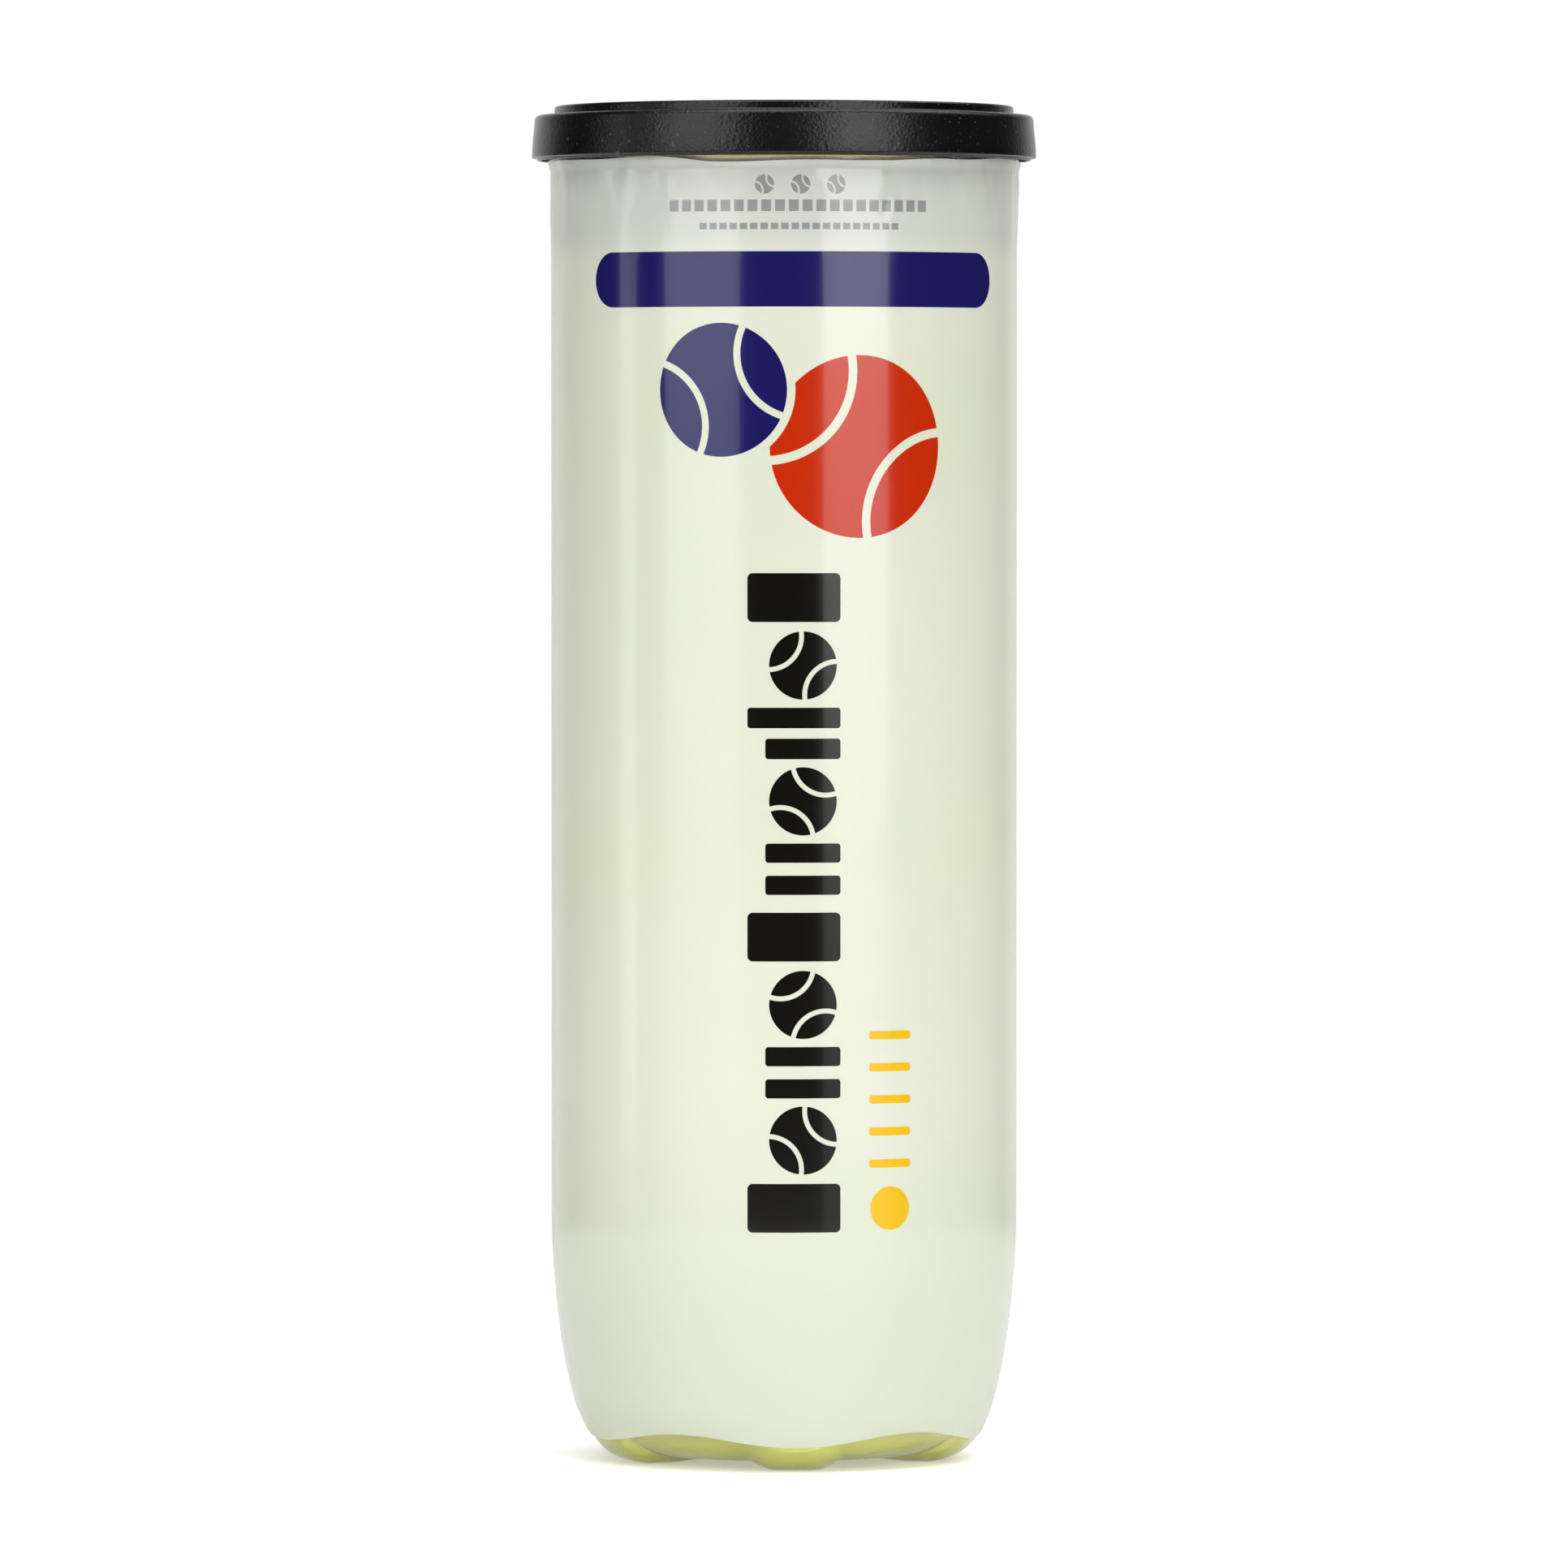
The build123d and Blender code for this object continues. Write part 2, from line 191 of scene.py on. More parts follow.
class Finish:
    """A material with one Principled shader, and short ways to add its pattern nodes."""

    def __init__(self, name, **settings):
        self.material = bpy.data.materials.new(name)
        self.material.use_nodes = True
        self.tree = self.material.node_tree
        self.shader = self.tree.nodes["Principled BSDF"]
        for key, value in settings.items():
            self.shader.inputs[key.replace("_", " ")].default_value = value

    def place(self):
        """The point in the object's own frame, in millimetres, as x, y and z."""
        coords = self.tree.nodes.new("ShaderNodeTexCoord")
        split = self.tree.nodes.new("ShaderNodeSeparateXYZ")
        self.tree.links.new(coords.outputs["Object"], split.inputs[0])
        return [Value(self.tree, split.outputs[axis]) * (1 / MM) for axis in range(3)]

    def noise(self, scale, detail=3.0, stretch=(1, 1, 1), rough=0.5):
        """Noise of scale features per metre, stretched along the axes."""
        coords = self.tree.nodes.new("ShaderNodeTexCoord")
        mapping = self.tree.nodes.new("ShaderNodeMapping")
        mapping.inputs["Scale"].default_value = stretch
        self.tree.links.new(coords.outputs["Object"], mapping.inputs["Vector"])
        node = self.tree.nodes.new("ShaderNodeTexNoise")
        node.inputs["Scale"].default_value = scale
        node.inputs["Detail"].default_value = detail
        node.inputs["Roughness"].default_value = rough
        self.tree.links.new(mapping.outputs[0], node.inputs["Vector"])
        return Value(self.tree, node.outputs["Fac"])

    def mix(self, factor, first, second):
        """Colour between first and second; each is a colour or the socket of an earlier mix."""
        node = self.tree.nodes.new("ShaderNodeMix")
        node.data_type = "RGBA"
        self.tree.links.new(factor.socket, node.inputs["Factor"])
        sockets = [s for s in node.inputs if s.type == "RGBA"]
        for slot, colour in zip(sockets, (first, second)):
            if isinstance(colour, tuple):
                slot.default_value = (*colour, 1)
            else:
                self.tree.links.new(colour, slot)
        return next(s for s in node.outputs if s.type == "RGBA")

    def drive(self, key, source):
        """Feeds one input of the Principled shader."""
        socket = source.socket if isinstance(source, Value) else source
        self.tree.links.new(socket, self.shader.inputs[key])
        return self

    def bump(self, height, strength, distance):
        """Bumps the Principled shader and returns the bumped normal for other shaders."""
        node = self.tree.nodes.new("ShaderNodeBump")
        node.inputs["Strength"].default_value = strength
        node.inputs["Distance"].default_value = distance
        self.tree.links.new(height.socket, node.inputs["Height"])
        self.tree.links.new(node.outputs[0], self.shader.inputs["Normal"])
        return node.outputs[0]

    def fresnel(self):
        """Share of light that glossy plastic reflects at each angle."""
        node = self.tree.nodes.new("ShaderNodeFresnel")
        node.inputs["IOR"].default_value = 1.5
        return Value(self.tree, node.outputs[0])

    def blend(self, kind, share, **inputs):
        """Mixes another shader into what the material shows so far, as far as share says."""
        shown = self.tree.nodes["Material Output"].inputs["Surface"]
        other = self.tree.nodes.new(kind)
        for key, value in inputs.items():
            if isinstance(value, bpy.types.NodeSocket):
                self.tree.links.new(value, other.inputs[key])
            else:
                other.inputs[key].default_value = value
        node = self.tree.nodes.new("ShaderNodeMixShader")
        if isinstance(share, Value):
            self.tree.links.new(share.socket, node.inputs[0])
        else:
            node.inputs[0].default_value = share
        self.tree.links.new(shown.links[0].from_socket, node.inputs[1])
        self.tree.links.new(other.outputs[0], node.inputs[2])
        self.tree.links.new(node.outputs[0], shown)


def srgb(red, green, blue):
    """Linear colour of an 8-bit display colour."""
    shares = [v / 255 for v in (red, green, blue)]
    return tuple(v / 12.92 if v < 0.04045 else ((v + 0.055) / 1.055) ** 2.4 for v in shares)


# ---------------------------------------------------------------- mesh helpers

def add_piece(name, points_mm, faces, material, body, replaced=(), slot=None, crease=35):
    """A mesh from points in millimetres, smooth but for its sharp edges, riding on a body."""
    mesh = bpy.data.meshes.new(name)
    mesh.from_pydata((np.asarray(points_mm, float) * MM).tolist(), [], faces)
    mesh.validate()
    mesh.shade_smooth()
    mesh.set_sharp_from_angle(angle=radians(crease))
    mesh.materials.append(material)
    piece = bpy.data.objects.new(name, mesh)
    bpy.context.scene.collection.objects.link(piece)
    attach(piece, body)
    if replaced:
        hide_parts(*replaced)
    return piece


def rounded(corners, steps=5):
    """An outline of (x, y, rounding) corners with each rounding drawn as a curve."""
    path = []
    for i, (x, y, reach) in enumerate(corners):
        here = Vector((x, y))
        if not reach:
            path.append((x, y))
            continue
        before = Vector(corners[i - 1][:2]) - here
        after = Vector(corners[(i + 1) % len(corners)][:2]) - here
        start = here + before.normalized() * min(reach, before.length * 0.48)
        end = here + after.normalized() * min(reach, after.length * 0.48)
        for k in range(steps + 1):
            t = k / steps
            path.append(tuple(start * (1 - t) ** 2 + here * 2 * t * (1 - t) + end * t * t))
    return path


def grid_faces(rows, columns, wrap_rows=False):
    """Quads over rows x columns of points, closed round the columns and, if asked, over the rows."""
    faces = []
    for i in range(rows if wrap_rows else rows - 1):
        low, high = i * columns, (i + 1) % rows * columns
        for j in range(columns):
            k = (j + 1) % columns
            faces.append((low + j, low + k, high + k, high + j))
    return faces


def lathe(name, outline, material, body, segments=288, **options):
    """A turned piece from a closed outline of (radius, height); points at radius 0 become poles."""
    angle = np.linspace(0, 2 * pi, segments, endpoint=False)
    ring = np.c_[np.cos(angle), np.sin(angle)]
    on_axis = outline[0][0] == 0
    rows = outline[1:-1] if on_axis else outline
    points = np.vstack([np.c_[ring * r, np.full(segments, z)] for r, z in rows])
    faces = grid_faces(len(rows), segments, wrap_rows=not on_axis)
    if on_axis:
        points = np.vstack([points, (0, 0, outline[0][1]), (0, 0, outline[-1][1])])
        last = (len(rows) - 1) * segments
        for j in range(segments):
            k = (j + 1) % segments
            faces.append((len(points) - 2, k, j))
            faces.append((len(points) - 1, last + j, last + k))
    return add_piece(name, points, faces, material, body, **options)


def join_shapes(shapes):
    """Points and faces of several (points, faces) shapes as one."""
    points, faces, count = [], [], 0
    for some, polygons in shapes:
        points.append(np.asarray(some, float))
        faces += [tuple(i + count for i in polygon) for polygon in polygons]
        count += len(some)
    return np.vstack(points), faces


# ---------------------------------------------------------------- materials

def clear_pet():
    """Thin clear polyester with a thicker base, hazed and tinted yellow there as a painted glow of the ball
    standing on it.
    """
    finish = Finish("clear_pet", Roughness=0.12, IOR=1.5)
    height = finish.place()[2]
    base, neck = height.fade(11, 4), height.fade(NECK_FROM, NECK_FROM + 1)
    patchy = finish.noise(90, 1).fade(0.2, 0.8) * 0.2 + 0.8
    # Painted glow: below about 11 mm the base's haze colour and see-through tint turn yellow, standing in for
    # the ball's light shining through the base.
    finish.drive("Base Color", finish.mix(base, srgb(226, 230, 222), srgb(240, 240, 118)))
    normal = finish.bump(finish.noise(260, 2, (1, 1, 0.25)), 0.12, 0.0004)
    tint = finish.mix(base, (0.965, 0.985, 0.97), (0.97, 0.975, 0.8))
    clear = (base * patchy * 0.46 + neck * 0.1) * -1 + 0.96
    finish.blend("ShaderNodeBsdfTransparent", clear, Color=tint)
    finish.blend("ShaderNodeBsdfGlossy", finish.fresnel(), Roughness=0.04, Normal=normal)
    return finish.material


def disc(u, z, centre_u, centre_z, radius):
    """Signed distance to a disc on the label, in millimetres."""
    across, up = u - centre_u, z - centre_z
    return (across * across + up * up).maths("SQRT") - radius


def bar(u, z, centre_u, centre_z, width, height, corner):
    """Signed distance to a bar with rounded corners on the label."""
    across = (abs(u - centre_u) - (width / 2 - corner)).most(0)
    up = (abs(z - centre_z) - (height / 2 - corner)).most(0)
    return (across * across + up * up).maths("SQRT") - corner


def ball_icon(u, z, centre_u, centre_z, radius, turn, line):
    """Signed distance to a plain ball drawing: a disc less the two curved lines of its seam."""
    shape = disc(u, z, centre_u, centre_z, radius)
    for side in (-1, 1):
        arc_u = centre_u + side * 1.34 * radius * cos(turn)
        arc_z = centre_z + side * 1.34 * radius * sin(turn)
        arc = abs(disc(u, z, arc_u, arc_z, 0.98 * radius)) - line / 2
        shape = shape.most(arc * -1)
    return shape


def joined(shapes):
    """Signed distance to several shapes together."""
    total = shapes[0]
    for shape in shapes[1:]:
        total = total.least(shape)
    return total


def navy_marks(u, z):
    """The band near the head of the label and the smaller ball drawing."""
    return joined([bar(u, z, *BAND), ball_icon(u, z, *NAVY_BALL, radians(24), 1.1)])


def red_marks(u, z):
    """The larger ball drawing, cut back where the navy one overlaps it."""
    gap = 1.3
    return ball_icon(u, z, *RED_BALL, radians(-38), 1.4).most(gap - disc(u, z, *NAVY_BALL))


def black_marks(u, z):
    """A column of plain blocks, ball drawings and bars up the front."""
    kinds = ("block", "ball", "bars", "ball", "block", "bars", "ball", "uneven", "ball", "block")
    wide, narrow, wide_u = 14.6, 11.8, COLUMN_U - 1.4
    shapes = []
    for i, kind in enumerate(kinds):
        height = COLUMN_LOW + i * COLUMN_PITCH
        if kind == "ball":
            shapes.append(ball_icon(u, z, COLUMN_U, height, 5.3, radians(40 * i), 0.75))
        elif kind == "block":
            shapes.append(bar(u, z, wide_u, height, wide, 7.6, 0.8))
        elif kind == "uneven":
            shapes.append(bar(u, z, wide_u, height + 2.4, wide, 3.2, 0.5))
            shapes.append(bar(u, z, COLUMN_U, height - 2.4, narrow, 3.2, 0.5))
        else:
            for side in (-1, 1):
                shapes.append(bar(u, z, COLUMN_U, height + side * 2.5, narrow, 3.0, 0.5))
    return joined(shapes)


def yellow_marks(u, z):
    """A short run of a disc and slim bars beside the column."""
    middle = 14.6
    bars = [bar(u, z, middle, 48.6 + i * 5.0, 7.2, 1.3, 0.5) for i in range(5)]
    return joined([disc(u, z, middle, 41.6, 3.4), *bars])


def back_marks(u, z):
    """The back of the label: a band, lines of dashes and a block of upright bars."""
    u = u.maths("WRAP", 2 * pi * BODY_R, 0.0) - pi * BODY_R
    shapes = [bar(u, z, *BAND)]
    lines, line_pitch, uprights, upright_pitch = 9, 4.4, 17, 1.7
    for i in range(lines):
        odd = i % 2
        dash = abs((u + 3.1 * i).maths("PINGPONG", 2.6 + 0.3 * (i % 3)) - 1.2) - 1.0
        shapes.append(bar(u, z, -2.0 * odd, 150 - line_pitch * i, 46 - 4 * odd, 1.5, 0.3).most(dash))
    for i in range(uprights):
        place = (i - uprights // 2) * upright_pitch
        shapes.append(bar(u, z, place, 78, 0.55 + 0.35 * (i * 5 % 3), 17, 0.05))
    return joined(shapes)


def grey_marks(u, z):
    """Three small ball drawings over two rows of dashes."""
    shapes = [ball_icon(u, z, (i - 1) * 5.6, 200.9, 1.5, radians(30), 0.3) for i in range(3)]
    for height, half, thick, pitch in ((197.6, 21.4, 1.8, 2.14), (194.4, 16.2, 1.0, 1.62)):
        dash = abs(u.maths("PINGPONG", pitch) - pitch / 2) - pitch * 0.36
        shapes.append(bar(u, z, 0, height, 2 * half, thick, 0.2).most(dash))
    return joined(shapes)


def printed_film():
    """Milky shrink film: translucent, glossy, a little uneven, printed with flat inks, with a painted glow at
    the balls' heights and painted shade in the headspace.
    """
    finish = Finish("printed_film", Roughness=0.16, IOR=1.5, Coat_Weight=0.35, Coat_Roughness=0.05)
    x, y, z = finish.place()
    u = x.maths("ARCTAN2", y * -1) * BODY_R
    colour, navy = srgb(232, 234, 219), srgb(30, 26, 100)
    # Painted glow: at each ball's height the film is tinted yellow-green in patches, standing in for the
    # ball's light showing through it.
    for centre in ball_heights():
        glow = abs(z - centre).fade(21, 2) * finish.noise(22, 2).fade(0.35, 0.75)
        colour = finish.mix(glow * 0.55, colour, srgb(226, 234, 192))
    colour = finish.mix(z.fade(62, 20) * 0.8, colour, srgb(217, 222, 204))
    # Painted shade: above about 188 mm, where no ball stands behind the film, the film is painted greyer in
    # patches.
    head = z.fade(188, 194) * (finish.noise(60, 3, (1, 1, 0.6)).fade(0.3, 0.7) * 0.25 + 0.75)
    colour = finish.mix(head, colour, srgb(217, 219, 212))
    mottle = finish.noise(34, 4, (1, 1, 0.4)).fade(0.3, 0.75)
    colour = finish.mix(mottle * 0.3, colour, srgb(220, 226, 208))
    inks = (
        (grey_marks, srgb(160, 161, 156)),
        (navy_marks, navy),
        (back_marks, navy),
        (red_marks, srgb(205, 48, 8)),
        (black_marks, srgb(18, 17, 10)),
        (yellow_marks, srgb(240, 198, 28)),
    )
    for marks, ink in inks:
        cover = marks(u, z).fade(0.04, -0.04)
        colour = finish.mix(cover, colour, ink)
    finish.drive("Base Color", colour)
    normal = finish.bump(finish.noise(120, 3, (1, 1, 0.3)), 0.05, 0.0005)
    finish.blend("ShaderNodeBsdfTranslucent", 0.35, Color=colour, Normal=normal)
    return finish.material


def gold_lacquer():
    """Clear gold lacquer over rolled sheet, with the faint grain of the rolling."""
    finish = Finish("gold_lacquered_metal", Metallic=1.0, Roughness=0.28, Coat_Weight=0.6,
                    Coat_Roughness=0.08)
    grain = finish.noise(900, 2, (1, 0.05, 1))
    finish.drive("Base Color", finish.mix(grain.fade(0.3, 0.7), srgb(214, 172, 92), srgb(226, 188, 112)))
    finish.bump(grain, 0.06, 0.0002)
    return finish.material


def tab_metal():
    """Bright bare sheet with fine draw lines."""
    finish = Finish("tab_metal", Metallic=1.0, Roughness=0.3)
    grain = finish.noise(1500, 3, (0.06, 1, 1))
    finish.drive("Base Color", finish.mix(grain.fade(0.3, 0.7), srgb(206, 206, 208), srgb(226, 226, 227)))
    finish.drive("Roughness", finish.noise(300, 2).fade(0, 1) * 0.15 + 0.22)
    finish.bump(grain, 0.08, 0.0002)
    return finish.material


def cap_plastic():
    """Black moulded plastic with a fine grain, a few scuffs and specks of dust."""
    finish = Finish("black_cap_plastic", IOR=1.36)
    speck = finish.noise(2600, 1).fade(0.72, 0.76)
    scuff = finish.noise(700, 1, (1, 0.06, 1)).fade(0.7, 0.76) * finish.noise(50, 1).fade(0.55, 0.7)
    colour = finish.mix(finish.noise(70, 3).fade(0.3, 0.7), srgb(5, 5, 5), srgb(8, 8, 8))
    colour = finish.mix((speck * 0.22).most(scuff * 0.12), colour, srgb(150, 150, 148))
    finish.drive("Base Color", colour)
    finish.drive("Roughness", finish.noise(90, 3).fade(0.2, 0.8) * 0.08 + 0.25)
    finish.bump(finish.noise(1900, 1), 0.3, 0.0002)
    return finish.material


def felt_cloth():
    """Yellow felt: matted tufts in two shades, with a soft sheen."""
    finish = Finish("yellow_felt", Roughness=0.92, Sheen_Weight=0.5, Sheen_Roughness=0.45,
                    Sheen_Tint=(0.9, 1.0, 0.5, 1))
    tuft = finish.noise(420, 4, rough=0.7)
    colour = finish.mix(tuft.fade(0.32, 0.68), srgb(150, 170, 34), srgb(196, 212, 66))
    colour = finish.mix(finish.noise(60, 3).fade(0.4, 0.75) * 0.5, colour, srgb(176, 192, 46))
    finish.drive("Base Color", colour)
    finish.bump(finish.noise(900, 4, rough=0.75), 0.6, 0.0006)
    return finish.material


def felt_fibre():
    """The paler loose hairs that stand out of the felt."""
    finish = Finish("felt_fibre", Roughness=0.85, Sheen_Weight=0.3)
    colour = finish.mix(finish.noise(700, 2).fade(0.3, 0.7), srgb(180, 198, 56), srgb(210, 222, 104))
    finish.drive("Base Color", colour)
    return finish.material


def plain_rubber(name, dark, light, scale=300):
    """Matte rubber, a little mottled between two shades."""
    finish = Finish(name, Roughness=0.7)
    finish.drive("Base Color", finish.mix(finish.noise(scale, 3).fade(0.3, 0.7), dark, light))
    finish.bump(finish.noise(scale * 4, 3), 0.2, 0.0003)
    return finish.material


# ---------------------------------------------------------------- the bottle and its film

def walk_arcs(point, heading, arcs, step=1.5):
    """Points along tangent arcs of (radius, turn in degrees); positive turns go left."""
    path = [point]
    for radius, turn in arcs:
        side = 1 if turn > 0 else -1
        centre = (point[0] - side * radius * sin(heading), point[1] + side * radius * cos(heading))
        count = max(2, int(radius * radians(abs(turn)) / step))
        for k in range(1, count + 1):
            a = heading + radians(turn) * k / count
            path.append((centre[0] + side * radius * sin(a), centre[1] - side * radius * cos(a)))
        heading += radians(turn)
        point = path[-1]
    return path


def side_top():
    """Height at which the tapering base becomes the straight wall."""
    angle, height = 0, 0
    for radius, turn in SIDE_ARCS:
        height += radius * (sin(radians(angle + turn)) - sin(radians(angle)))
        angle += turn
    return height


def envelope_path(inset):
    """The foot outline from the axis to the top of the taper, as arrays of radius and height."""
    arcs = [(radius - inset, -turn) for radius, turn in SIDE_ARCS]
    side = walk_arcs((BOTTLE_R - inset, side_top()), -pi / 2, arcs, 0.5)
    floor = [(0, DISH + inset), (PAD_INNER_R - PAD_STEP, DISH + inset), (PAD_INNER_R, inset)]
    return np.array(floor + side[::-1]).T


def bowl_path(inset):
    """The valley outline from the axis outwards."""
    arcs = [(radius - inset, turn) for radius, turn in BOWL_ARCS]
    curve = walk_arcs((BOWL_FLAT_R, DISH + inset), 0, arcs, 0.5)
    end = curve[-1]
    tail = (end[0] + 10, end[1] + 10 * tan(radians(sum(turn for _, turn in BOWL_ARCS))))
    return np.array([(0, DISH + inset)] + curve + [tail]).T


def smooth_least(a, b, reach):
    """The lesser of two heights, rounded over reach where they cross."""
    h = np.clip(0.5 + 0.5 * (b - a) / reach, 0, 1)
    return b * (1 - h) + a * h - reach * h * (1 - h)


def from_front(angle):
    """The same angle, measured from the front in either direction."""
    return (angle + pi) % (2 * pi) - pi


def foot_angle(angle):
    """Angle from the nearest foot's middle; a foot points to -Y, which is angle 0."""
    pitch = 2 * pi / FEET
    return (angle + pitch / 2) % pitch - pitch / 2


def base_height(radius, angle, inset):
    """Height of the bottle's underside at a radius and an angle from the front."""
    low = np.interp(radius, *envelope_path(inset))
    valley = np.interp(radius, *bowl_path(inset))
    across = np.abs(radius * np.sin(foot_angle(angle)))
    near = FOOT_WIDTH / 2 - inset * sqrt(1 + FOOT_SPREAD ** 2)
    flank = low + FOOT_ROUND * -0.25 + (across - near) / FOOT_SPREAD
    flank = np.where(radius < FOOT_FROM_R, valley, flank)
    return -smooth_least(-low, -smooth_least(valley, flank, 0.5), FOOT_ROUND)


def bottle_rows(inset):
    """(radius, height) rows from the axis to the neck; base rows take their height from base_height."""
    radii, heights = envelope_path(inset)
    taper = [(r, z) for r, z in zip(radii, heights) if r > 30]
    base = [(r, 0) for r in np.concatenate([np.linspace(2, 12, 4), np.linspace(12.8, 30, 27)])]
    wall = [(BOTTLE_R - inset, z) for z in np.linspace(50, NECK_FROM - 3, 8)]
    return base + taper[::2] + wall


def neck_rows():
    """(radius, height) rows of the neck: up its outside, over the turned edge and down its inside."""
    fold_top, fold_low, edge_low = SEAM_TOP - 0.5, SEAM_TOP - 0.86, SEAM_TOP - 2.5
    outside = rounded([
        (BOTTLE_R, NECK_FROM - 0.6, 0), (BOTTLE_R, NECK_FROM, 0.5), (NECK_R, NECK_FROM + 1.6, 0.5),
        (NECK_R, fold_low, 0), (FOLD_R, fold_low, 0), (FOLD_R, edge_low, 0), (FOLD_OUTER_R, edge_low, 0),
        (FOLD_OUTER_R, fold_top, 0), (BODY_R, fold_top, 0),
    ], 3)
    inside = [(MOUTH_R, SEAM_TOP - 0.7), (MOUTH_R, NECK_FROM + 2), (CHUCK_R, NECK_FROM + 1.3),
              (BOTTLE_R - WALL, NECK_FROM - 0.6)]
    return outside + inside


def bottle():
    """The clear bottle as one closed shell, with its feet and bowl below and its neck above."""
    columns = 360
    angle = np.linspace(0, 2 * pi, columns, endpoint=False)

    def row(radius, height, inset):
        """One ring of points; a ring of the base takes its height from the feet and the bowl."""
        level = np.full(columns, height)
        z = base_height(np.full(columns, radius), angle, inset) if height < BASE_TOP else level
        return np.c_[np.sin(angle) * radius, -np.cos(angle) * radius, z]

    points = [row(*place, 0) for place in bottle_rows(0) + neck_rows()]
    points += [row(*place, WALL) for place in bottle_rows(WALL)[::-1]]
    rows = len(points)
    points = np.vstack(points + [(0, 0, DISH - GATE_DROP), (0, 0, DISH + WALL)])
    faces = grid_faces(rows, columns)
    last = (rows - 1) * columns
    for j in range(columns):
        k = (j + 1) % columns
        faces.append((rows * columns, k, j))
        faces.append((rows * columns + 1, last + j, last + k))
    return add_piece("bottle", points, faces, clear_pet(), "can", ["canister"], "clear_pet", crease=50)


def ball_heights():
    """Height of each ball's centre."""
    heights = []
    for number in (1, 2, 3):
        boxes = [box_mm(f"ball_{number}_felt_{half}") for half in ("lower", "upper")]
        heights.append((min(low.z for low, _ in boxes) + max(high.z for _, high in boxes)) / 2)
    return heights


def bottle_profiles(angles):
    """For each angle, the bottle's outside as radii and the height it reaches at each of them."""
    radii = np.linspace(TAPER_FROM_R, BOTTLE_R, 90)
    heights = [np.maximum.accumulate(base_height(radii, angle, 0)) for angle in angles]
    return radii, heights


def film_radius(angle, z, profiles):
    """Outside radius of the film: straight wall, taper, tucks between the feet, flare and seam."""
    radii, heights = envelope_path(-FILM)
    keep = radii > TAPER_FROM_R
    radius = np.where(z < side_top(), np.interp(z, heights[keep], radii[keep]), BODY_R)
    valley = (0.5 - 0.5 * np.cos(FEET * angle)) ** 1.5
    tuck = 1.1
    radius = radius - tuck * valley * np.clip((13 - z) / 9, 0, 1) ** 1.5
    inside = np.array([np.interp(h, column, profiles[0]) for h, column in zip(z, profiles[1])])
    radius = np.where(z < BASE_TOP, np.maximum(radius, inside + FILM), radius)
    flare = 0.5
    radius = radius + np.clip((z - NECK_FROM) / 1.6, 0, 1) * flare
    seam, seam_height, seam_width = from_front(angle) - radians(35), 0.05, 0.035
    ridge = np.exp(-(seam / seam_width) ** 2 / 2) * (1 + 0.3 * np.sin(z / 3.1))
    return radius - seam_height + seam_height * ridge


def wrinkle(angle, z):
    """Small folds near the film's top edge and a few above the feet, in millimetres."""
    x, y = BODY_R * sin(angle), -BODY_R * cos(angle)
    top = max(0, min(1, (z - 186) / 14)) ** 1.5
    foot = max(0, min(1, (16 - z) / 12))
    fold = max(0, noise.noise(Vector((x * 0.2, y * 0.2, z * 0.08 + 3))) + 0.15) * 0.42
    fine = noise.noise(Vector((x * 0.6, y * 0.6, z * 0.25))) * 0.09
    broad = noise.noise(Vector((x * 0.05, y * 0.05, z * 0.03 + 9))) * 0.05
    return (fold + fine) * top + fine * foot * 0.5 + broad * min(1, top + 0.35)


def film():
    """The sleeve as a thin closed shell, with its wavy lower edge hugging the feet."""
    columns, thick = 360, 0.1
    angle = np.linspace(0, 2 * pi, columns, endpoint=False)
    taper, straight = 36, 184
    levels = np.concatenate([np.linspace(0, 1, 40) ** 1.2 * taper, np.linspace(taper, straight, 38)[1:],
                             np.linspace(straight, FILM_HIGH - FILM_LOW, 42)[1:]])
    low_edge = -0.95 * np.cos(FEET * angle) + 0.12 * np.sin(3 * angle + 1)
    rise = np.clip((np.abs(from_front(angle)) - 0.4) / 0.25, 0, 1) * 0.6
    top_edge = 0.14 * np.sin(7 * angle) + 0.1 * np.sin(11 * angle + 2) + rise
    profiles = bottle_profiles(angle)
    outside, inside = [], []
    for level in levels:
        z = FILM_LOW + level + low_edge * max(0, 1 - level / 14) ** 2
        z = z + top_edge * max(0, min(1, (level - 190) / 9))
        fold = np.array([wrinkle(a, h) for a, h in zip(angle, z)])
        radius = film_radius(angle, z, profiles) + np.maximum(fold, -0.04)
        for rows, r in ((outside, radius), (inside, radius - thick)):
            rows.append(np.c_[np.sin(angle) * r, -np.cos(angle) * r, z])
    points = np.vstack(outside + inside[::-1])
    faces = grid_faces(2 * len(levels), columns, wrap_rows=True)
    return add_piece("label_film", points, faces, printed_film(), "can", ["sleeve_label"], "printed_film",
                     crease=60)


# ---------------------------------------------------------------- the metal end and the pull tab

